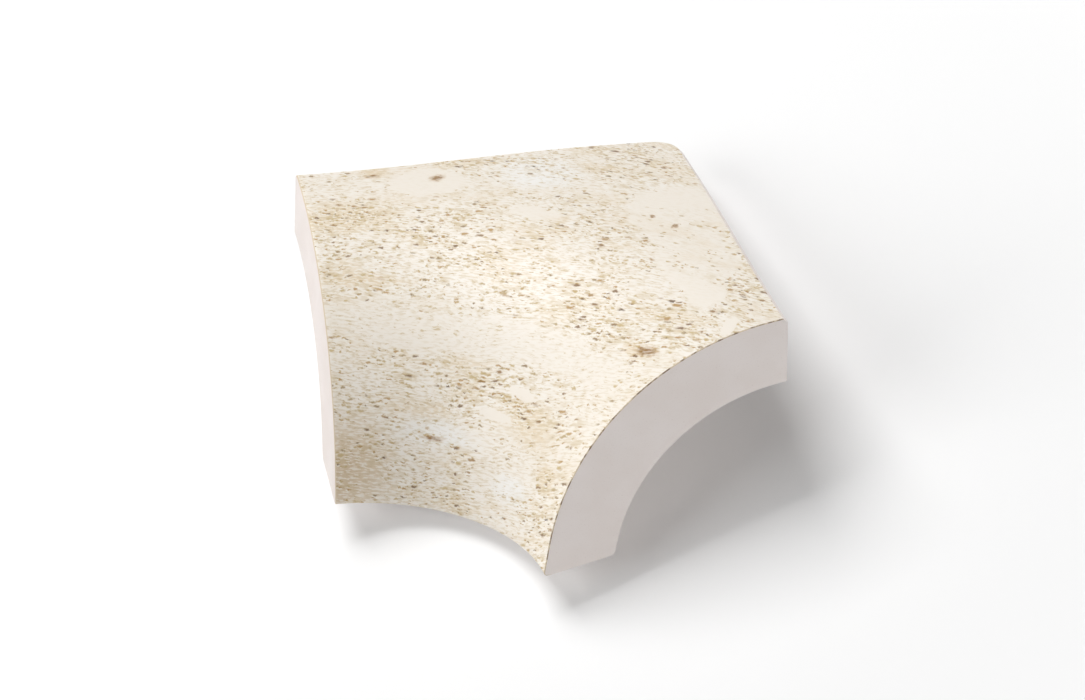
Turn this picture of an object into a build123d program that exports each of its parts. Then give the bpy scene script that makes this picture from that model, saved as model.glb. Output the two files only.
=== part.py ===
from build123d import *
import math
import os

# Plan and body of the corner, in millimetres
SIDE = 59.2            # length of each square back edge, from an end face to the back corner
THICKNESS = 10.0       # fired body, the same all over
CORNER_RADIUS = 4.0    # rounding of the back corner in plan

# Nosing section, in millimetres and degrees
NOSE_RADIUS = 38.5     # rounded front edge, measured on the face
BACK_PITCH = 11.5      # slope of the face where the nosing ends
BACK_STRIP = 2.7       # strip of face between the nosing and the back edge of a leg
CROWN_RADIUS = 100.0   # gentle crown that carries the pitch over to the level back corner
FOOT_DRAFT = 7.5       # how far the foot stays short of upright
FOOT_STRAIGHT = 5.5    # flat strip of face below the nosing
INNER_STRAIGHT = 1.5   # flat strip of the inside below its arc, so the foot is cut on a slope
FOOT_EASE = 1.0        # easing of the inner edge of the foot
FACE_EASE = 0.5        # easing of the face edge of the foot

# Back edges
BACK_DRAFT = 3.0       # the back edges lean out towards the underside
BACK_CHAMFER = 0.7     # bare chamfer along the back edges of the face

# Centres of the nosing and of the crown, seen in section as distance from the axis and height
pitch = math.radians(BACK_PITCH)
lean = math.radians(FOOT_DRAFT)
nose_end_x = SIDE - BACK_STRIP
nose_x = nose_end_x + NOSE_RADIUS * math.sin(pitch)
nose_z = FOOT_STRAIGHT * math.cos(lean) - NOSE_RADIUS * math.sin(lean)
crown_x = nose_end_x + CROWN_RADIUS * math.sin(pitch)
crown_z = nose_z - (CROWN_RADIUS - NOSE_RADIUS) * math.cos(pitch)
top_z = crown_z + CROWN_RADIUS
under_z = top_z - THICKNESS

# Foot of the section
inner_radius = NOSE_RADIUS - THICKNESS
face_x = nose_x - NOSE_RADIUS * math.cos(lean) - FOOT_STRAIGHT * math.sin(lean)
inner_start_z = nose_z + inner_radius * math.sin(lean)
inner_x = nose_x - inner_radius * math.cos(lean) - INNER_STRAIGHT * math.sin(lean)
inner_z = inner_start_z - INNER_STRAIGHT * math.cos(lean)
face_foot = Vector(face_x, 0)
inner_foot = Vector(inner_x, inner_z)
far_x = 2 * SIDE
sweep = 90 - FOOT_DRAFT - BACK_PITCH

# Section of the shell, drawn from the foot up the face and back along the underside
with BuildSketch(Plane.XZ) as section:
    with BuildLine():
        nose = CenterArc((nose_x, nose_z), NOSE_RADIUS, 180 - FOOT_DRAFT, -sweep)
        crown = CenterArc((crown_x, crown_z), CROWN_RADIUS, 90 + BACK_PITCH, -BACK_PITCH)
        Line(face_foot, nose @ 0)
        inner_crown = CenterArc((crown_x, crown_z), CROWN_RADIUS - THICKNESS, 90, BACK_PITCH)
        inner_nose = CenterArc((nose_x, nose_z), inner_radius, 90 + BACK_PITCH, sweep)
        Polyline(crown @ 1, (far_x, top_z), (far_x, under_z), inner_crown @ 0)
        Polyline(inner_nose @ 1, inner_foot, face_foot)
    make_face()
    fillet(section.vertices().sort_by_distance(face_foot)[0], FACE_EASE)
    fillet(section.vertices().sort_by_distance(inner_foot)[0], FOOT_EASE)

# The section turned a quarter round the upright axis, which makes the saddle-shaped nosing
saddle = revolve(section.sketch, Axis.Z, 90)

# Square block with leaning back edges and a rounded back corner, which trims the flange
with BuildSketch(Plane.XY.offset(top_z)) as plan:
    Rectangle(2 * SIDE, 2 * SIDE)
    fillet(plan.vertices().group_by(Axis.X)[-1].sort_by(Axis.Y)[-1], CORNER_RADIUS)
block = extrude(plan.sketch, -2 * top_z)
upright = block.faces().filter_by(lambda face: abs(face.normal_at().Z) < 0.5)
block = draft(upright, Plane.XY.offset(top_z), BACK_DRAFT)
tile = saddle & block

# Chamfer where the face meets the back edges and the back corner
back_edges = []
for edge in tile.edges():
    middle = edge @ 0.5
    along_back = max(middle.X, middle.Y) > SIDE - CORNER_RADIUS / 2
    on_face = middle.Z > top_z - THICKNESS / 4
    off_ends = min(middle.X, middle.Y) > BACK_STRIP
    if along_back and on_face and off_ends:
        back_edges.append(edge)
tile = chamfer(back_edges, BACK_CHAMFER)

# Resting tilt: unheld, the tile leans back until its back corner meets the floor behind the foot
lean_out = THICKNESS * math.tan(math.radians(BACK_DRAFT))
corner_reach = math.sqrt(2) * SIDE - (math.sqrt(2) - 1) * CORNER_RADIUS + lean_out
along_foot = (face_foot - inner_foot).normalized()
up_inside = Vector(math.sin(lean), math.cos(lean))
half_corner = math.radians(along_foot.get_angle(up_inside)) / 2
ease_centre = inner_foot + (along_foot + up_inside).normalized() * (FOOT_EASE / math.sin(half_corner))
to_corner = Vector(corner_reach, under_z) - ease_centre
tilt = math.degrees(math.atan2(to_corner.Y, to_corner.X) + math.asin(FOOT_EASE / to_corner.length))

# Turned so that the two legs are alike left and right, leant back and set down on the floor
tile = Rot(-tilt, 0, 0) * Rot(0, 0, 45) * tile
size = tile.bounding_box()
tile = Pos(-size.center().X, -size.center().Y, -size.min.Z) * tile
tile.label = "inside_corner_tile"

os.makedirs("parts", exist_ok=True)
export_step(tile, "parts/inside_corner_tile.step")
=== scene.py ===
# %% [markdown]
# An inside corner tile, dressed for its portrait.
# The tile is one fired piece: a curved shell with a rounded nosing that runs round a hollow quarter
# turn, a square back corner, and a stone-look print on its face. The construction already gave its
# real size and how it rests. Here it gets a smooth mesh, its print and its bare body, and then a
# floor, some light and a camera.

import math

import bmesh
import bpy
from mathutils import Color, Matrix, Quaternion, Vector


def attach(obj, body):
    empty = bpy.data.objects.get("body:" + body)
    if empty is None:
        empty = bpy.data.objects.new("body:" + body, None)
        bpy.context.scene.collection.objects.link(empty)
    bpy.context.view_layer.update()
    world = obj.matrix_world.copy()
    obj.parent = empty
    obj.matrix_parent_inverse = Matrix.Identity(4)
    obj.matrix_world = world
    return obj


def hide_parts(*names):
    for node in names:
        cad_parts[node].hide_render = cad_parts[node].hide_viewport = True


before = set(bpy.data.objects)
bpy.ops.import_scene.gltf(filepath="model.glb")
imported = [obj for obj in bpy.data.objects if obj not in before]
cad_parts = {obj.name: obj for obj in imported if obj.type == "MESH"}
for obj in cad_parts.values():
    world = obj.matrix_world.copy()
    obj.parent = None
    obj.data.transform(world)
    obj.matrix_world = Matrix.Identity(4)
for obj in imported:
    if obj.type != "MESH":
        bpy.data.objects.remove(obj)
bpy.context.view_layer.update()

# %% [markdown]
# The sizes of the tile, the same as in its construction. They are written in millimetres, as on a
# drawing, and turned to metres once, because Blender works in metres here. They could be measured on
# the loaded frame, but a radius or a lean is hard to read off a mesh of triangles.

# %% Sizes of the tile
MM = 0.001
SIDE = 59.2 * MM
THICKNESS = 10.0 * MM
CORNER_RADIUS = 4.0 * MM
NOSE_RADIUS = 38.5 * MM
BACK_PITCH = math.radians(11.5)
BACK_STRIP = 2.7 * MM
CROWN_RADIUS = 100.0 * MM
FOOT_DRAFT = math.radians(7.5)
FOOT_STRAIGHT = 5.5 * MM
INNER_STRAIGHT = 1.5 * MM
FOOT_EASE = 1.0 * MM
FACE_EASE = 0.5 * MM
BACK_DRAFT = math.radians(3.0)
BACK_CHAMFER = 0.7 * MM
END_EASE = 0.14 * MM
print("a tile of", round(SIDE / MM, 1), "mm each way, its body", round(THICKNESS / MM, 1), "mm thick")

# %% [markdown]
# Sawn through, the tile shows its section: a short foot, the round nosing, a gentle crown behind it,
# and an underside at an even depth below. The section could be traced point by point. A few sizes and
# two centres give it exactly, one for the nosing and one for the crown, and all points follow when a
# size changes. The section lies in the X and Z directions, at Y zero.

# %% Points of the section
def spot(x, z):
    return Vector((x, 0.0, z))


nose_end = SIDE - BACK_STRIP
nose_centre = spot(
    nose_end + NOSE_RADIUS * math.sin(BACK_PITCH),
    FOOT_STRAIGHT * math.cos(FOOT_DRAFT) - NOSE_RADIUS * math.sin(FOOT_DRAFT),
)
crown_centre = spot(
    nose_end + CROWN_RADIUS * math.sin(BACK_PITCH),
    nose_centre.z - (CROWN_RADIUS - NOSE_RADIUS) * math.cos(BACK_PITCH),
)
INNER_RADIUS = NOSE_RADIUS - THICKNESS
nose_turn = math.pi / 2 - FOOT_DRAFT - BACK_PITCH
foot_side = spot(-math.cos(FOOT_DRAFT), math.sin(FOOT_DRAFT))
foot_down = spot(-math.sin(FOOT_DRAFT), -math.cos(FOOT_DRAFT))
nose_low = nose_centre + foot_side * NOSE_RADIUS
inner_low = nose_centre + foot_side * INNER_RADIUS
face_foot = nose_low + foot_down * FOOT_STRAIGHT
inner_foot = inner_low + foot_down * INNER_STRAIGHT
lean_out = THICKNESS * math.tan(BACK_DRAFT)
print("foot at", round(face_foot.x / MM, 2), "inner foot at", round(inner_foot.x / MM, 2))

# %% [markdown]
# Behind the nosing the face is a very flat dome, so its height depends only on the distance from the
# axis. Sharp corners chip, so the two corners of the foot are eased with small arcs and the back edge
# has a chamfer. A Bevel modifier could ease them later, but in the section each gets its own radius.

# %% Crown and eased corners
def crown_height(reach, below):
    """Height of the crown at a distance from the axis, some depth below the face."""
    radius = CROWN_RADIUS - below
    short = max(crown_centre.x - reach, 0.0)
    return crown_centre.z + math.sqrt(radius * radius - short * short)


def ease(corner, before, after, radius):
    """Start, centre and turn of an arc that eases a corner between two straight runs."""
    to_before = (before - corner).normalized()
    to_after = (after - corner).normalized()
    half = to_before.angle(to_after) / 2
    centre = corner + (to_before + to_after).normalized() * (radius / math.sin(half))
    return corner + to_before * (radius / math.tan(half)), centre, math.pi - 2 * half


edge_high = spot(SIDE, crown_height(SIDE, 0.0))
edge_low = spot(SIDE + lean_out, crown_height(SIDE + lean_out, THICKNESS))
foot_start, foot_centre, foot_turn = ease(face_foot, inner_foot, nose_low, FACE_EASE)
inner_start, inner_centre, inner_turn = ease(inner_foot, inner_low, face_foot, FOOT_EASE)
inner_top = nose_centre + spot(-math.sin(BACK_PITCH), math.cos(BACK_PITCH)) * INNER_RADIUS
to_nose = (spot(nose_end, crown_height(nose_end, 0.0)) - edge_high).normalized()
to_under = (edge_low - edge_high).normalized()
face_edge = edge_high + to_nose * BACK_CHAMFER
chamfer_low = edge_high + to_under * BACK_CHAMFER
print("back edge at", round(edge_high.z / MM, 2), "mm above the foot")

# %% [markdown]
# The section is drawn as a pen would draw it: a single vertex is extruded along the straight runs and
# spun round a centre for the arcs. A curve object could hold the same line. A bmesh is chosen because
# the next steps go on from it, and because numbers can ride on its vertices. The first number says
# how far a vertex follows the square outline of the flange, and the second how deep under the face
# it lies.

# %% A pen for the section
tile_mesh = bmesh.new()
slide = tile_mesh.verts.layers.float.new("slide")
depth = tile_mesh.verts.layers.float.new("depth")


def pen_down(place, sliding=0.0, deep=0.0):
    """Begin a line."""
    vert = tile_mesh.verts.new(place)
    vert[slide] = sliding
    vert[depth] = deep
    return vert


def line_to(vert, place, steps, sliding=0.0, deep=0.0):
    """Draw a straight run in even steps. The two numbers change evenly along it."""
    begin = vert.co.copy()
    begin_slide = vert[slide]
    begin_deep = vert[depth]
    for step in range(1, steps + 1):
        part = step / steps
        vert = bmesh.ops.extrude_vert_indiv(tile_mesh, verts=[vert])["verts"][0]
        vert.co = begin.lerp(place, part)
        vert[slide] = begin_slide + (sliding - begin_slide) * part
        vert[depth] = begin_deep + (deep - begin_deep) * part
    return vert


def arc_round(vert, centre, turn, steps):
    """Draw an arc round a centre in even steps."""
    made = bmesh.ops.spin(
        tile_mesh, geom=[vert], cent=centre, axis=(0, 1, 0), angle=turn, steps=steps
    )
    return [item for item in made["geom_last"] if isinstance(item, bmesh.types.BMVert)][0]


# %% [markdown]
# The line of the face runs from the foot over the nosing to the back edge. The line of the body goes
# on down the chamfered back edge, under the nosing and home to the foot. They are two lines, because
# the face is printed and the body is bare. A stretch that bends more gets more steps.

# %% Draw the section
FOOT_STEPS = 4
NOSE_STEPS = 56
FLANGE_STEPS = 12
CHAMFER_STEPS = 2
BACK_STEPS = 3
UNDER_STEPS = 8
INNER_NOSE_STEPS = 36
INNER_RUN_STEPS = 2
SOLE_STEPS = 5

pen = pen_down(foot_start)
pen = arc_round(pen, foot_centre, foot_turn, FOOT_STEPS)
pen = line_to(pen, nose_low, FOOT_STEPS)
pen = arc_round(pen, nose_centre, nose_turn, NOSE_STEPS)
pen = line_to(pen, face_edge, FLANGE_STEPS, sliding=1.0)
face_line = list(tile_mesh.edges)

pen = pen_down(face_edge, sliding=1.0)
pen = line_to(pen, chamfer_low, CHAMFER_STEPS, sliding=1.0, deep=BACK_CHAMFER)
pen = line_to(pen, edge_low, BACK_STEPS, sliding=1.0, deep=THICKNESS)
pen = line_to(pen, inner_top, UNDER_STEPS, deep=THICKNESS)
pen = arc_round(pen, nose_centre, -nose_turn, INNER_NOSE_STEPS)
pen = line_to(pen, inner_start, INNER_RUN_STEPS)
pen = arc_round(pen, inner_centre, inner_turn, SOLE_STEPS)
pen = line_to(pen, foot_start, SOLE_STEPS)
body_line = [edge for edge in tile_mesh.edges if edge not in set(face_line)]
print("section drawn with", len(face_line), "face edges and", len(body_line), "body edges")

# %% [markdown]
# The section turns a quarter round the upright axis, as a template would sweep wet clay. That gives
# the saddle of the nosing: bulging in section, hollow in plan. Bending a straight nosing would do it
# too, but a spin keeps the section true all the way. The steps are finer near the diagonal, where the
# back corner will be. The face line is spun first and the body line after it, so each gets its own
# finish.

# %% Spin the section a quarter turn
PRINT, BODY, EDGE = 0, 1, 2
# degrees and steps of the first leg, the diagonal and the second leg
TURNS = ((41.0, 36), (8.0, 18), (41.0, 36))


def quarter_turn(line, finish):
    before = set(tile_mesh.faces)
    moving = list(line) + list({vert for edge in line for vert in edge.verts})
    for angle, steps in TURNS:
        made = bmesh.ops.spin(
            tile_mesh, geom=moving, cent=(0, 0, 0), axis=(0, 0, 1), angle=math.radians(angle), steps=steps
        )
        moving = made["geom_last"]
    for face in tile_mesh.faces:
        if face not in before:
            face.material_index = finish


quarter_turn(face_line, PRINT)
quarter_turn(body_line, BODY)
print("spun", len(tile_mesh.faces), "faces")

# %% [markdown]
# The flange is still round, and on the real tile it is square. A boolean cut could trim it, but it
# would leave thin slivers of faces along the cut. Instead each vertex that carries the slide number
# moves out along its own ray, until the last ring lies on the square outline with its rounded back
# corner. Then the rings between are set back on the crown.

# %% Pull the flange out to the square
def outline_reach(angle, side):
    """Distance from the axis to the rounded square outline, along a ray."""
    radius = CORNER_RADIUS + side - SIDE
    diagonal = math.sqrt(2) * (side - radius)
    off = abs(angle - math.pi / 4)
    if math.pi / 4 - off < math.atan2(side - radius, side):
        return side / math.cos(math.pi / 4 - off)
    return diagonal * math.cos(off) + math.sqrt(radius * radius - (diagonal * math.sin(off)) ** 2)


for vert in tile_mesh.verts:
    if vert[slide] > 0.0:
        reach = math.hypot(vert.co.x, vert.co.y)
        outline = max(reach, face_edge.x)
        pulled = reach + vert[slide] * (outline_reach(math.atan2(vert.co.y, vert.co.x), outline) - outline)
        rise = crown_height(pulled, vert[depth]) - crown_height(reach, vert[depth])
        vert.co = (vert.co.x * pulled / reach, vert.co.y * pulled / reach, vert.co.z + rise)

for vert in tile_mesh.verts:
    if 0.0 < vert[slide] < 1.0 and vert[depth] in (0.0, THICKNESS):
        vert.co.z = crown_height(math.hypot(vert.co.x, vert.co.y), vert[depth])
print("back corner", round(outline_reach(math.pi / 4, SIDE) / MM, 2), "mm from the axis")

# %% [markdown]
# The two lines were spun apart, so the shell is open along its edges and at both ends. Merging the
# doubles joins face and body, and filling the two holes that are left gives the flat cut ends. The
# ends could be grids, but a flat face needs no more than its outline.

# %% Close the cut ends
MERGE_DISTANCE = 0.001 * MM
bmesh.ops.remove_doubles(tile_mesh, verts=tile_mesh.verts, dist=MERGE_DISTANCE)
open_edges = [edge for edge in tile_mesh.edges if edge.is_boundary]
caps = bmesh.ops.holes_fill(tile_mesh, edges=open_edges, sides=0)["faces"]
for cap in caps:
    cap.material_index = BODY
bmesh.ops.recalc_face_normals(tile_mesh, faces=tile_mesh.faces)
print("caps", len(caps), "open edges left", sum(edge.is_boundary for edge in tile_mesh.edges))

# %% [markdown]
# The cut ends have fine arrises. Where the print ends on such an arris, a thin line shows, so the
# strips beside the print get a finish of their own. A Bevel modifier could ease the arrises later,
# but the operator hands back the new faces, and that is how the strips are found.

# %% Ease the cut ends
MOST_CORNERS = 8
cap_edges = [edge for cap in caps for edge in cap.edges]
print_edges = [edge for edge in cap_edges if any(face.material_index == PRINT for face in edge.link_faces)]
strips = bmesh.ops.bevel(
    tile_mesh,
    geom=print_edges,
    offset=END_EASE,
    offset_type="OFFSET",
    segments=2,
    profile=0.5,
    affect="EDGES",
    material=-1,
)
for face in strips["faces"]:
    face.material_index = EDGE
# only the flat cut ends have more corners than this, and they stay flat
for face in tile_mesh.faces:
    face.smooth = len(face.verts) < MOST_CORNERS
print("strips", len(strips["faces"]), "faces in all", len(tile_mesh.faces))

# %% [markdown]
# So far the tile stands as it is laid. Unheld it leans back until the underside of its back corner
# meets the floor behind the foot. The object could be turned, but a piece sits at the origin, unturned,
# with its place in its mesh, so the mesh is turned the same way as the construction.

# %% Set the tile down as it rests
corner_low = spot(outline_reach(math.pi / 4, SIDE + lean_out), crown_centre.z + CROWN_RADIUS - THICKNESS)
to_corner = corner_low - inner_centre
tilt = math.atan2(to_corner.z, to_corner.x) + math.asin(FOOT_EASE / to_corner.length)
as_it_rests = Matrix.Rotation(-tilt, 4, "X") @ Matrix.Rotation(math.pi / 4, 4, "Z")
bmesh.ops.transform(tile_mesh, matrix=as_it_rests, verts=tile_mesh.verts)
middle = (max(vert.co.y for vert in tile_mesh.verts) + min(vert.co.y for vert in tile_mesh.verts)) / 2
lowest = min(vert.co.z for vert in tile_mesh.verts)
set_down = Vector((0.0, -middle, -lowest))
bmesh.ops.translate(tile_mesh, vec=set_down, verts=tile_mesh.verts)
print("tilt", round(math.degrees(tilt), 2), "set down by", [round(v / MM, 3) for v in set_down])

# %% [markdown]
# The mesh becomes an object that rides on the body of the tile and stands for its node. Its faces are
# smooth, which alone would blur the edges, so an edge that turns by more than a set angle stays sharp.

# %% Make the piece
SHARP_FROM = math.radians(28)
mesh = bpy.data.meshes.new("printed_tile")
tile_mesh.to_mesh(mesh)
tile_mesh.free()
mesh.set_sharp_from_angle(angle=SHARP_FROM)
tile = bpy.data.objects.new("printed_tile", mesh)
bpy.context.scene.collection.objects.link(tile)
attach(tile, "root")
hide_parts("inside_corner_tile")
print(tile.name, "has", len(mesh.polygons), "faces")

# %% [markdown]
# The finishes are built from nodes. They could be joined by hand in the shader editor. In a script a
# few small helpers keep the recipes short: one opens a finish, one places a node and feeds its
# sockets, one does sums, one fades between two values, and two lay a colour over another.

# %% Helpers for the finishes
def shade(red, green, blue):
    """A colour as a paint card gives it, turned to the linear light that shaders use."""
    linear = Color((red / 255, green / 255, blue / 255)).from_srgb_to_scene_linear()
    return (*linear, 1.0)


def start_finish(name):
    finish = bpy.data.materials.new(name)
    finish.use_nodes = True
    mesh.materials.append(finish)
    return finish.node_tree, finish.node_tree.nodes["Principled BSDF"]


def put(tree, kind, sockets, **settings):
    """Place a node, set it up and feed its sockets with values or with other nodes."""
    node = tree.nodes.new(kind)
    for name, value in settings.items():
        setattr(node, name, value)
    for socket, value in sockets.items():
        if isinstance(value, bpy.types.NodeSocket):
            tree.links.new(value, node.inputs[socket])
        else:
            node.inputs[socket].default_value = value
    return node


def reckon(tree, operation, first, second, third=0.0):
    return put(tree, "ShaderNodeMath", {0: first, 1: second, 2: third}, operation=operation).outputs[0]


def fade(tree, value, start, end):
    """Nought at the start, one at the end, and a soft passage between."""
    sockets = {"Value": value, "From Min": start, "From Max": end}
    return put(tree, "ShaderNodeMapRange", sockets, interpolation_type="SMOOTHSTEP").outputs["Result"]


def lay_over(tree, amount, below, above):
    return put(tree, "ShaderNodeMix", {0: amount, 6: below, 7: above}, data_type="RGBA").outputs[2]


def tint(tree, ground, ink, mask, strength):
    """Lay an ink over the ground where a mask lets it, at a strength."""
    return lay_over(tree, reckon(tree, "MULTIPLY", mask, strength), ground, ink)


# %% [markdown]
# A noise alone looks like smoke. Stretched, it gives streaks, and when it pushes another pattern about
# it gives that pattern a ragged edge. These helpers do both, and one gives a finish its fine relief.

# %% Helpers for unevenness
MIDDLE_GREY = (0.5, 0.5, 0.5)


def noise(tree, where, scale, detail, dimensions="2D"):
    sockets = {"Vector": where, "Scale": scale, "Detail": detail}
    return put(tree, "ShaderNodeTexNoise", sockets, noise_dimensions=dimensions).outputs


def stretch(tree, where, factors):
    return put(tree, "ShaderNodeVectorMath", {0: where, 1: factors}, operation="MULTIPLY").outputs[0]


def shift(tree, where, by):
    return put(tree, "ShaderNodeVectorMath", {0: where, 1: by}, operation="ADD").outputs[0]


def streaks(tree, where, shape, detail):
    """A noise drawn out one way. The shape says how many waves go on a millimetre, along and up."""
    return noise(tree, stretch(tree, where, shape), 1.0, detail)["Fac"]


def ruffle(tree, where, scale, detail, strength):
    """Push a place about with the colours of a noise, a different way on each axis."""
    colour = noise(tree, where, scale, detail)["Color"]
    sockets = {0: colour, 1: MIDDLE_GREY}
    swing = put(tree, "ShaderNodeVectorMath", sockets, operation="SUBTRACT").outputs[0]
    return shift(tree, where, stretch(tree, swing, strength))


def give_relief(tree, shader, height, deepest, strength):
    bump = put(tree, "ShaderNodeBump", {"Height": height, "Distance": deepest, "Strength": strength})
    tree.links.new(bump.outputs["Normal"], shader.inputs["Normal"])


# %% [markdown]
# The print is a flat picture, wrapped on the tile. An unwrapped UV map could carry it, but on a quarter
# turn the place can be worked out, and it follows when a size changes. A point finds its place on the
# picture in two steps. A Mapping node takes it from the resting tile back to the laid tile, in
# millimetres. Then its turn round the upright axis says how far along the picture it lies, and its
# way up the section, over the nosing and out on the flange, says how far up.

# %% Place on the laid tile
rest_to_laid = as_it_rests.inverted()


def laid_place(tree):
    """Where a point of the resting tile lies on the laid tile, in millimetres."""
    sockets = {
        "Vector": put(tree, "ShaderNodeTexCoord", {}).outputs["Object"],
        "Location": -(rest_to_laid @ set_down) / MM,
        "Rotation": rest_to_laid.to_euler("XYZ"),
        "Scale": (1 / MM, 1 / MM, 1 / MM),
    }
    return put(tree, "ShaderNodeMapping", sockets, vector_type="POINT").outputs[0]


print("the laid tile is turned back by", [round(math.degrees(a), 1) for a in rest_to_laid.to_euler("XYZ")])

# %% [markdown]
# The beds of the stone aren't quite level on the picture: they climb to the right and sag a little in
# the middle, and on the right their marks are drawn out. So each point gets two places, one on the
# flat sheet and one in the beds of the stone.

# %% Place on the print
BED_SAG = 0.23
BED_RISE = 0.18
BED_DRAW = 0.3


def print_place(tree):
    """Where a point of the face lies on the sheet, along and up, and where in the stone's beds."""
    axes = put(tree, "ShaderNodeSeparateXYZ", {0: laid_place(tree)}).outputs
    across = reckon(tree, "MULTIPLY", axes["X"], axes["X"])
    reach = reckon(tree, "POWER", reckon(tree, "MULTIPLY_ADD", axes["Y"], axes["Y"], across), 0.5)
    turn = reckon(tree, "SUBTRACT", math.pi / 4, reckon(tree, "ARCTAN2", axes["Y"], axes["X"]))
    rise = reckon(tree, "SUBTRACT", axes["Z"], nose_centre.z / MM)
    run = reckon(tree, "SUBTRACT", nose_centre.x / MM, reach)
    bend = reckon(tree, "MAXIMUM", reckon(tree, "ARCTAN2", rise, run), FOOT_DRAFT)
    bend = reckon(tree, "MINIMUM", bend, math.pi / 2 - BACK_PITCH)
    flange = reckon(tree, "MAXIMUM", reckon(tree, "SUBTRACT", reach, nose_end / MM), 0.0)
    foot = reckon(tree, "MINIMUM", reckon(tree, "SUBTRACT", axes["Z"], nose_low.z / MM), 0.0)
    up = reckon(tree, "MULTIPLY_ADD", bend, NOSE_RADIUS / MM, reckon(tree, "ADD", flange, foot))
    along = reckon(tree, "MULTIPLY", turn, reach)
    climb = reckon(tree, "MULTIPLY", along, reckon(tree, "MULTIPLY_ADD", turn, BED_SAG, BED_RISE))
    level = reckon(tree, "SUBTRACT", up, climb)
    drawn = reckon(tree, "MULTIPLY_ADD", reckon(tree, "MAXIMUM", turn, 0.0), -BED_DRAW, 1.0)
    drawn = reckon(tree, "MULTIPLY", along, drawn)
    sheet = put(tree, "ShaderNodeCombineXYZ", {"X": along, "Y": up}).outputs[0]
    stone = put(tree, "ShaderNodeCombineXYZ", {"X": drawn, "Y": level}).outputs[0]
    return sheet, stone


print_height = nose_turn * NOSE_RADIUS + FOOT_STRAIGHT + BACK_STRIP
print("the print is", round(print_height / MM, 1), "mm high at the ends")

# %% [markdown]
# The picture shows travertine, a stone that settles in beds. Some of its marks have a place of their
# own. Random noise would put them anywhere, so each is an oval with a ragged edge, given by its place
# on the print and its reach along and up, in millimetres. First come the pale and coloured ones: the
# pale bed, the quite smooth spots, the small pale blobs, the whitish lime zones, one of them a painted
# sheen by the back edge, the straw-coloured zones, and the clay zone at the foot, which is partly the
# print's own tint and partly painted shade.

# %% Pale and coloured marks
PALE_BEDS = (
    ((-12, 27.5), (24, 4.6)),
    ((10, 28.8), (14, 2.6)),
)
SMOOTH_SPOTS = (
    ((14, 59), (9, 8)),
    ((22, 53), (9, 6.5)),
    ((27, 49.5), (5, 3.5)),
    ((-25.5, 53.4), (5.5, 3.4)),
    ((-6, 49.5), (4, 1.6)),
)
PALE_BLOBS = (
    ((5.7, 20.9), (2.6, 0.9)),
    ((2.3, 16.6), (3.2, 0.8)),
    ((38, 47.5), (1.6, 1.6)),
)
LIME_AND_SHEEN_ZONES = (
    # painted sheen: this first lime zone, by the back edge, whitens the flange where the satin glaze catches
    # the light; the other two are white patches of the print
    ((-11.5, 59.5), (7, 5)),
    ((-6, 11.6), (7, 2.3)),
    ((8, 7), (4.5, 2.4)),
)
STRAW_ZONES = (
    ((-24, 33.7), (8, 1.4)),
    ((-34.5, 55), (3, 1.6)),
    ((-19, 6), (7, 8)),
    ((15, 12), (3.5, 2.5)),
    ((22.6, 34.8), (2.4, 1.4)),
    ((9, 17.5), (8, 4)),
    ((-35, 45), (7, 4)),
)
# the clay zone at the left corner of the foot is partly the print's own tint and partly painted shade
CLAY_AND_SHADE_ZONES = (((-21, 4), (9, 10)),)
print("pale beds", len(PALE_BEDS), "smooth spots", len(SMOOTH_SPOTS), "straw zones", len(STRAW_ZONES))

# %% [markdown]
# Then come the open ones: the zones crowded with pores, and the larger pits. The longest pit lies
# aslant, so its oval is turned.

# %% Crowded zones and pits
CROWDED_ZONES = (
    ((-17, 42.5), (9, 5)),
    ((15, 37), (10, 5)),
    ((27, 42.3), (9, 3.4)),
    ((35, 50.5), (7, 4.5)),
    ((0, 69), (7, 4)),
    ((2, 20.7), (14, 2.4)),
    ((17, 20), (5, 4)),
    ((17, 8), (5, 7)),
    ((-33, 46), (6, 3)),
)
PITS = (
    ((-24.6, 54.4), (1.2, 1.1)),
    ((-34.2, 54.0), (1.4, 0.5)),
    ((14.3, 56.5), (0.5, 0.9)),
    ((9.8, 56.6), (0.5, 0.4)),
    ((-6.7, 10.9), (1.9, 0.5)),
)
LONG_PIT = (((25.6, 36.1), (3.4, 0.9)),)
LONG_PIT_TURN = math.radians(22)


def marks(tree, where, places, start, end, turn=0.0):
    """One inside any of the marks, nought outside. The ovals may all be turned."""
    found = 0.0
    for place, reach in places:
        sockets = {"Vector": where, "Location": (*place, 0.0), "Scale": (*reach, 1.0)}
        sockets["Rotation"] = (0.0, 0.0, turn)
        offset = put(tree, "ShaderNodeMapping", sockets, vector_type="TEXTURE").outputs[0]
        away = put(tree, "ShaderNodeVectorMath", {0: offset}, operation="LENGTH").outputs["Value"]
        found = reckon(tree, "MAXIMUM", found, fade(tree, away, start, end))
    return found


print("crowded zones", len(CROWDED_ZONES), "pits", len(PITS) + len(LONG_PIT))

# %% [markdown]
# Every layer of the print reads its place through some unevenness of its own, so that no zone is a
# clean oval and no bed a ruled line. The zones are ragged, the small spots are nibbled at, the beds
# sway slowly, and the pores lie along the swaying beds with a fringe of their own.

# %% Uneven places
print_tree, print_shader = start_finish("travertine_print")
sheet, stone = print_place(print_tree)
zone_place = ruffle(print_tree, sheet, scale=0.35, detail=2.0, strength=(3.0, 2.0, 0.0))
spot_place = ruffle(print_tree, sheet, scale=1.1, detail=2.0, strength=(1.0, 0.7, 0.0))
bed_place = ruffle(print_tree, stone, scale=0.08, detail=1.0, strength=(3.0, 1.4, 0.0))
pore_place = ruffle(print_tree, bed_place, scale=1.9, detail=3.0, strength=(1.0, 0.5, 0.0))
print("places found with", len(print_tree.nodes), "nodes")

# %% [markdown]
# Each kind of mark becomes a soft mask, one inside and nought outside. The passage from start to end is
# given in shares of the oval's reach: a short passage gives a crisp mark, and a long one a cloudy mark.
# No pores crowd on a smooth spot.

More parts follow.
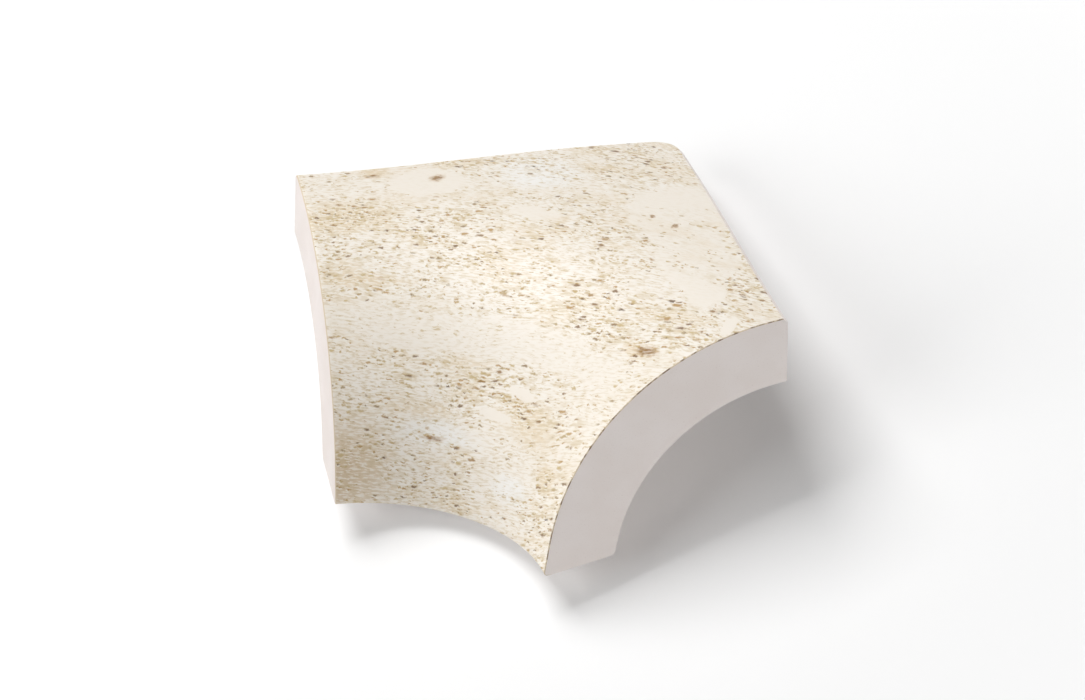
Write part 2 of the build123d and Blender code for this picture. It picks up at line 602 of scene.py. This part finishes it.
# %% Masks of the marks
pale = marks(print_tree, zone_place, PALE_BEDS, start=1.15, end=0.8)
# the lime mask holds white patches of the print and the painted sheen by the back edge
lime_and_sheen = marks(print_tree, zone_place, LIME_AND_SHEEN_ZONES, start=1.3, end=0.4)
straw = marks(print_tree, zone_place, STRAW_ZONES, start=1.2, end=0.2)
# the clay mask is partly print and partly painted shade on the left corner of the foot
clay_and_shade = marks(print_tree, zone_place, CLAY_AND_SHADE_ZONES, start=1.3, end=0.1)
blobs = marks(print_tree, spot_place, PALE_BLOBS, start=1.1, end=0.85)
smooth = marks(print_tree, zone_place, SMOOTH_SPOTS, start=1.15, end=0.85)
smooth = reckon(print_tree, "MAXIMUM", smooth, blobs)
crowded = marks(print_tree, zone_place, CROWDED_ZONES, start=1.3, end=0.5)
crowded = reckon(print_tree, "SUBTRACT", crowded, smooth)
crowded = reckon(print_tree, "MAXIMUM", crowded, 0.0)
pits = marks(print_tree, spot_place, PITS, start=1.2, end=0.3)
long_pit = marks(print_tree, spot_place, LONG_PIT, start=1.2, end=0.3, turn=LONG_PIT_TURN)
pits = reckon(print_tree, "MAXIMUM", pits, long_pit)
print("marks set,", len(print_tree.nodes), "nodes so far")

# %% [markdown]
# Between the marks, travertine is open in some beds and closed in others, and within an open bed the
# pores come in clumps. A long flat noise gives the beds, and a rounder one the clumps. The pale bed,
# the smooth spots and, half as much, the lime zones, painted sheen included, close it.

# %% Open beds
BED_SHAPE = (0.02, 0.13, 1.0)
CLUMP_SHAPE = (0.17, 0.3, 1.0)
LIME_AND_SHEEN_CLOSES = 0.5
beds = streaks(print_tree, bed_place, BED_SHAPE, detail=2.0)
clumps = streaks(print_tree, zone_place, CLUMP_SHAPE, detail=2.0)
closed = reckon(print_tree, "MULTIPLY", lime_and_sheen, LIME_AND_SHEEN_CLOSES)
closed = reckon(print_tree, "MAXIMUM", closed, smooth)
closed = reckon(print_tree, "MAXIMUM", closed, pale)
open_bed = reckon(print_tree, "SUBTRACT", fade(print_tree, beds, 0.36, 0.6), closed)
open_bed = fade(print_tree, open_bed, -0.75, 0.8)
clumped = reckon(print_tree, "MULTIPLY", open_bed, fade(print_tree, clumps, 0.3, 0.66))
print("open beds found,", len(print_tree.nodes), "nodes so far")

# %% [markdown]
# The print has a small set of inks, from cream to a dark brown. They are written as on a paint card,
# red, green and blue from 0 to 255, because that is how most people know a colour by its numbers.

# %% Inks of the print
CREAM = shade(247, 239, 227)
STRAW = shade(231, 211, 178)
# the clay ink is partly the print's tint and partly painted shade for the foot's left corner
CLAY_AND_SHADE = shade(214, 190, 162)
# white of the lime patches, and of the painted sheen by the back edge
LIME_AND_SHEEN = shade(250, 248, 244)
MILK = shade(250, 245, 237)
SAND = shade(218, 202, 172)
TAN = shade(204, 180, 130)
OCHRE = shade(186, 147, 84)
BROWN = shade(150, 110, 56)
UMBER = shade(122, 86, 40)
DARK = shade(72, 52, 28)
print("cream in linear light", [round(v, 3) for v in CREAM])

# %% [markdown]
# The print is put together from the ground up, as a printer lays one ink after another. The ground is
# cream, with straw-coloured clouds on the open beds and the coloured zones on top. One noise could
# mix all inks at once, but then no layer could be set by itself.

# %% Ground
CLOUD_SHAPE = (0.09, 0.22, 1.0)
clouds = streaks(print_tree, bed_place, CLOUD_SHAPE, detail=3.0)
cloudy = reckon(print_tree, "MULTIPLY", fade(print_tree, clouds, 0.46, 0.7), open_bed)
ground = tint(print_tree, CREAM, STRAW, cloudy, strength=0.5)
ground = tint(print_tree, ground, STRAW, straw, strength=0.7)
# lays the white lime patches and the painted sheen by the back edge
ground = tint(print_tree, ground, LIME_AND_SHEEN, lime_and_sheen, strength=0.85)
# painted shade: the clay tint darkens the left corner of the foot beyond its print colour
ground = tint(print_tree, ground, CLAY_AND_SHADE, clay_and_shade, strength=0.6)
print("ground laid,", len(print_tree.nodes), "nodes so far")

# %% [markdown]
# Over the ground goes a fine brushed grain of pale and sandy strokes. It is never quite gone, it is
# strongest on the open beds, and it is weak on the smooth spots.

# %% Brushed grain
BRUSH_SHAPE = (0.9, 3.4, 1.0)
BRUSH_LEAST = 0.45
BRUSH_ON_OPEN = 0.55
BRUSH_ON_SMOOTH = -0.3
brushed = streaks(print_tree, bed_place, BRUSH_SHAPE, detail=3.0)
share = reckon(print_tree, "MULTIPLY_ADD", open_bed, BRUSH_ON_OPEN, BRUSH_LEAST)
share = reckon(print_tree, "MULTIPLY_ADD", smooth, BRUSH_ON_SMOOTH, share)
pale_strokes = reckon(print_tree, "MULTIPLY", fade(print_tree, brushed, 0.5, 0.6), share)
sandy_strokes = reckon(print_tree, "MULTIPLY", fade(print_tree, brushed, 0.48, 0.38), share)
ground = tint(print_tree, ground, MILK, pale_strokes, strength=0.65)
ground = tint(print_tree, ground, SAND, sandy_strokes, strength=0.5)
print("grain brushed on,", len(print_tree.nodes), "nodes so far")

# %% [markdown]
# Where pores crowd, broad tan smears darken the stone round them. Without them the pores would look
# sprinkled on.

# %% Smears
SMEAR_SHAPE = (0.28, 0.8, 1.0)
SMEAR_ON_CROWDED = 0.6
SMEAR_ON_CLUMPS = 0.8
smears = streaks(print_tree, pore_place, SMEAR_SHAPE, detail=2.0)
crowd = reckon(print_tree, "MULTIPLY", clumped, SMEAR_ON_CLUMPS)
crowd = reckon(print_tree, "MULTIPLY_ADD", crowded, SMEAR_ON_CROWDED, crowd)
smear = reckon(print_tree, "MULTIPLY", fade(print_tree, smears, 0.52, 0.74), crowd)
ground = tint(print_tree, ground, TAN, smear, strength=0.6)
print("smears laid,", len(print_tree.nodes), "nodes so far")

# %% [markdown]
# The pores are the heart of the pattern. They could be modelled as holes, but on the real tile they
# are printed. A Voronoi texture scatters points over the print and gives each cell a random colour.
# The red of that colour decides whether the cell has a pore, the green how large it is and the blue
# how dark. The cells are drawn out along the beds. Faint tan dashes, made in the same way but longer
# and flatter, lie all along the beds, except on the smooth spots.

# %% Pores of one size, and the dashes
DASH_SHAPE = (1 / 2.4, 1 / 0.55, 1.0)
DASH_CELL = 0.6
DASH_SMALLEST = 0.15
DASH_LARGEST = 0.5
DASH_SHARE = 0.45
DASH_ON_OPEN = 0.2
DASH_FAINTEST = 0.3
DASH_SPREAD = 0.5


def pores(tree, where, shape, cell, share, smallest, largest):
    """Soft masks of the pores and of their tone, for cells of one size. A share of them has a pore."""
    sockets = {"Vector": stretch(tree, where, shape), "Scale": 1 / cell}
    cells = put(tree, "ShaderNodeTexVoronoi", sockets, voronoi_dimensions="2D")
    chance = put(tree, "ShaderNodeSeparateColor", {"Color": cells.outputs["Color"]}).outputs
    bulk = reckon(tree, "POWER", chance["Green"], 2.0)
    radius = reckon(tree, "MULTIPLY_ADD", bulk, largest - smallest, smallest)
    away = reckon(tree, "DIVIDE", cells.outputs["Distance"], radius)
    present = fade(tree, reckon(tree, "SUBTRACT", share, chance["Red"]), 0.0, 0.1)
    return reckon(tree, "MULTIPLY", fade(tree, away, 1.2, 0.25), present), chance["Blue"]


share = reckon(print_tree, "MULTIPLY_ADD", open_bed, DASH_ON_OPEN, DASH_SHARE)
share = reckon(print_tree, "SUBTRACT", share, smooth)
dash, tone = pores(print_tree, pore_place, DASH_SHAPE, DASH_CELL, share, DASH_SMALLEST, DASH_LARGEST)
tone = reckon(print_tree, "MULTIPLY_ADD", tone, DASH_SPREAD, DASH_FAINTEST)
ground = lay_over(print_tree, reckon(print_tree, "MULTIPLY", dash, tone), ground, TAN)
print("dashes laid,", len(print_tree.nodes), "nodes so far")

# %% [markdown]
# The pores come in four sizes, from fine to large. Each pore has a pale glint on its lower lip, as if
# light fell into it, and a core that is darker than its rim. The glint is the same pore once more, a
# little lower and under it, which is simpler than working out how light would fall. The pits and the
# pores together are what is hollow in the print.

# %% Four sizes of pores
PORE_SHAPE = (1 / 1.9, 1 / 0.9, 1.0)
GLINT_DROP = (0.05, 0.18, 0.0)
# cell in mm, smallest and largest pore in cells, share in clumps, share in crowded zones, rim, core
PORE_SIZES = (
    (0.6, 0.22, 0.5, 0.75, 0.2, TAN, OCHRE),
    (0.95, 0.18, 0.4, 0.6, 0.45, TAN, UMBER),
    (1.5, 0.14, 0.3, 0.2, 0.55, OCHRE, UMBER),
    (3.5, 0.06, 0.1, 0.15, 0.15, BROWN, DARK),
)
above = shift(print_tree, pore_place, GLINT_DROP)
hollow = pits
for cell, smallest, largest, clump_share, crowded_share, rim, core in PORE_SIZES:
    share = reckon(print_tree, "MULTIPLY", clumped, clump_share)
    share = reckon(print_tree, "MULTIPLY_ADD", crowded, crowded_share, share)
    glint = pores(print_tree, above, PORE_SHAPE, cell, share, smallest, largest)[0]
    pore, tone = pores(print_tree, pore_place, PORE_SHAPE, cell, share, smallest, largest)
    darkness = reckon(print_tree, "MULTIPLY", fade(print_tree, tone, 0.2, 1.0), pore)
    ink = lay_over(print_tree, darkness, rim, core)
    ground = tint(print_tree, ground, MILK, glint, strength=0.75)
    ground = tint(print_tree, ground, ink, pore, strength=0.9)
    hollow = reckon(print_tree, "MAXIMUM", hollow, pore)
print("pores of", len(PORE_SIZES), "sizes laid,", len(print_tree.nodes), "nodes so far")

# %% [markdown]
# Last come the pale blobs, which cover the pores, and the larger pits, ochre at their rims and brown
# inside. The brushed grain breaks the pits up, so they don't look like drops of paint.

# %% Blobs and pits
PIT_LEAST = 0.55
PIT_ON_GRAIN = 0.4
ground = tint(print_tree, ground, CREAM, blobs, strength=0.85)
pit_ink = lay_over(print_tree, fade(print_tree, pits, 0.4, 1.0), OCHRE, BROWN)
broken = reckon(print_tree, "MULTIPLY_ADD", fade(print_tree, brushed, 0.6, 0.45), PIT_ON_GRAIN, PIT_LEAST)
ground = lay_over(print_tree, reckon(print_tree, "MULTIPLY", pits, broken), ground, pit_ink)
print_tree.links.new(ground, print_shader.inputs["Base Color"])
print("blobs and pits laid,", len(print_tree.nodes), "nodes so far")

# %% [markdown]
# The glaze over the print is satin. In the pores and pits it is duller and a hair lower, which the
# roughness and a fine relief show. Real dents would need a very fine mesh for something that is only
# felt with a fingertip, so a Bump node does it.

# %% Satin glaze
GLAZE_ROUGHNESS = 0.42
HOLLOW_ROUGHER = 0.25
PRINT_RELIEF = 0.02 * MM
dullness = reckon(print_tree, "MULTIPLY_ADD", hollow, HOLLOW_ROUGHER, GLAZE_ROUGHNESS)
print_tree.links.new(dullness, print_shader.inputs["Roughness"])
relief = reckon(print_tree, "MULTIPLY_ADD", hollow, -1.0, brushed)
give_relief(print_tree, print_shader, relief, PRINT_RELIEF, strength=0.6)
print("print laid with", len(print_tree.nodes), "nodes")

# %% [markdown]
# The bare body is pale, a little pink and quite matt. It is pressed from fine powder, so it carries
# a soft mottling and a fine speckle, and the speckle also roughens it a little. One flat colour would
# look like plastic, so two noises of different scale share the work.

# %% Bare body
BODY_ROSE = shade(233, 224, 219)
BODY_PALE = shade(236, 228, 224)
BODY_SPECK = shade(222, 211, 205)
BODY_RELIEF = 0.015 * MM
body_tree, body_shader = start_finish("bare_body")
body_place = laid_place(body_tree)
mottle = noise(body_tree, body_place, 0.16, 2.0, "3D")["Fac"]
grain = noise(body_tree, body_place, 4.0, 2.0, "3D")["Fac"]
clay_body = lay_over(body_tree, fade(body_tree, mottle, 0.3, 0.7), BODY_ROSE, BODY_PALE)
clay_body = lay_over(body_tree, fade(body_tree, grain, 0.6, 0.8), clay_body, BODY_SPECK)
body_tree.links.new(clay_body, body_shader.inputs["Base Color"])
# the passage starts far below the grain, so the body is matt all over and varies only a little
body_tree.links.new(fade(body_tree, grain, -2.2, 0.9), body_shader.inputs["Roughness"])
give_relief(body_tree, body_shader, grain, BODY_RELIEF, strength=0.5)
print("bare body has", len(body_tree.nodes), "nodes")

# %% [markdown]
# The arris between print and body shows as a thin broken line of brown on the right end, because the
# ink ends there and the glaze is chipped a little. The left end is cut cleaner and shows only tan. A
# line could be drawn as a curve, but then it would stand proud, so it is a finish on the eased strip.

# %% Broken brown line at the edge of the print
EDGE_BROWN = shade(122, 97, 70)
EDGE_TAN = shade(220, 203, 176)
# across the laid tile in mm: the line is brown beyond the first and tan up to the second
BROWN_FADES = (20.0, 5.0)
edge_tree, edge_shader = start_finish("print_edge")
edge_place = laid_place(edge_tree)
chips = noise(edge_tree, edge_place, 0.9, 3.0, "3D")["Fac"]
across = put(edge_tree, "ShaderNodeSeparateXYZ", {0: edge_place}).outputs["X"]
bare = reckon(edge_tree, "MAXIMUM", fade(edge_tree, chips, 0.36, 0.6), fade(edge_tree, across, *BROWN_FADES))
edge_line = lay_over(edge_tree, bare, EDGE_BROWN, EDGE_TAN)
edge_tree.links.new(edge_line, edge_shader.inputs["Base Color"])
edge_tree.links.new(fade(edge_tree, chips, -0.6, 1.2), edge_shader.inputs["Roughness"])
print("edge line has", len(edge_tree.nodes), "nodes")

# %% [markdown]
# The floor is a plain pale plane, much larger than the view, so that no horizon shows. It isn't part
# of the tile.

# %% Floor
FLOOR_REACH = 3.0
floor_mesh = bpy.data.meshes.new("floor")
floor_build = bmesh.new()
bmesh.ops.create_grid(floor_build, x_segments=1, y_segments=1, size=FLOOR_REACH)
floor_build.to_mesh(floor_mesh)
floor_build.free()
floor = bpy.data.objects.new("floor", floor_mesh)
bpy.context.scene.collection.objects.link(floor)
print("floor of", round(floor.dimensions.x, 1), "metres")

# %% [markdown]
# White paper under a lamp is never white all over in a picture. More light would bleach the tile, so
# the paper gets a little light of its own instead, more of it farther out. Only the camera, gloss and
# glass would see that light, so the floor reads as white from every side and still keeps the shadow
# of the tile.

# %% White paper
PAPER_WHITE = (0.94, 0.94, 0.94, 1.0)
LAMP_WHITE = (1.0, 1.0, 1.0, 1.0)
PAPER_GLOW = 0.05
FAR_GLOW = 0.9
GLOW_STARTS = 0.06
GLOW_FULL = 0.4
paper = bpy.data.materials.new("white_paper")
paper.use_nodes = True
paper_tree = paper.node_tree
paper_shader = paper_tree.nodes["Principled BSDF"]
paper_shader.inputs["Base Color"].default_value = PAPER_WHITE
paper_shader.inputs["Roughness"].default_value = 0.9
paper_shader.inputs["Specular IOR Level"].default_value = 0.0
paper_shader.inputs["Emission Color"].default_value = LAMP_WHITE
rays = put(paper_tree, "ShaderNodeLightPath", {}).outputs
seen = reckon(paper_tree, "MAXIMUM", rays["Is Camera Ray"], rays["Is Glossy Ray"])
seen = reckon(paper_tree, "MAXIMUM", seen, rays["Is Transmission Ray"])
floor_place = put(paper_tree, "ShaderNodeTexCoord", {}).outputs["Object"]
away = put(paper_tree, "ShaderNodeVectorMath", {0: floor_place}, operation="LENGTH").outputs["Value"]
glow = fade(paper_tree, away, GLOW_STARTS, GLOW_FULL)
glow = reckon(paper_tree, "MULTIPLY_ADD", glow, FAR_GLOW, PAPER_GLOW)
glow = reckon(paper_tree, "MULTIPLY", seen, glow)
paper_tree.links.new(glow, paper_shader.inputs["Emission Strength"])
floor_mesh.materials.append(paper)
print("paper glows from", PAPER_GLOW, "near the tile to", round(PAPER_GLOW + FAR_GLOW, 2), "far out")

# %% [markdown]
# Light comes through three soft panels. The main one hangs high, a little to the left and behind, and
# throws the shadow to the right. The second stands to the left and in front, and lights the nosing.
# The third is low on the right and opens up the cut end. A pale room fills the rest. One large panel
# would be softer still, but it would flatten the nosing. Together they light a level surface about as
# bright as its colour is written.

# %% Light
PANEL_DISTANCE = 0.9
ROOM_LIGHT = 0.12


def soft_panel(name, towards, size, level):
    """A square panel in a direction from the tile. The level is what it adds on a surface facing it."""
    lamp = bpy.data.lights.new(name, "AREA")
    lamp.shape = "SQUARE"
    lamp.size = size
    lamp.energy = level * (math.pi * PANEL_DISTANCE) ** 2
    holder = bpy.data.objects.new(name, lamp)
    direction = Vector(towards).normalized()
    holder.location = direction * PANEL_DISTANCE
    holder.rotation_mode = "QUATERNION"
    holder.rotation_quaternion = direction.to_track_quat("Z", "Y")
    bpy.context.scene.collection.objects.link(holder)
    print(name, "shines with", round(lamp.energy, 2), "watts")


soft_panel("key_panel", towards=(-0.4, 0.28, 0.87), size=0.5, level=0.75)
soft_panel("left_panel", towards=(-0.48, -0.6, 0.64), size=0.6, level=0.42)
soft_panel("right_panel", towards=(0.99, 0.1, 0.05), size=0.5, level=0.68)
world = bpy.data.worlds.new("pale_room")
world.use_nodes = True
room = world.node_tree.nodes["Background"]
room.inputs["Color"].default_value = LAMP_WHITE
room.inputs["Strength"].default_value = ROOM_LIGHT
bpy.context.scene.world = world

# %% [markdown]
# The camera stands where the photograph was taken from, seen from the tile: the tile leans back, so
# the camera looks down more steeply and is turned about its own line of sight. It could be aimed by a
# constraint, but a direction and a roll are plain numbers that stay put.

# %% Camera
CAMERA_PLACE = (0.25533, -0.25197, 0.45315)
LOOK = Vector((-0.44886, 0.43597, -0.78003))
ROLL = math.radians(-21.595)
camera_data = bpy.data.cameras.new("portrait")
camera_data.sensor_width = 36.0
camera_data.lens = 127.35
camera_data.clip_start = 0.01
camera = bpy.data.objects.new("portrait", camera_data)
camera.location = CAMERA_PLACE
camera.rotation_mode = "QUATERNION"
camera.rotation_quaternion = LOOK.to_track_quat("-Z", "Y") @ Quaternion((0, 0, 1), ROLL)
bpy.context.scene.collection.objects.link(camera)
bpy.context.scene.camera = camera
bpy.context.scene.view_settings.view_transform = "Standard"
print("camera", round(camera.location.length, 3), "metres from the tile")
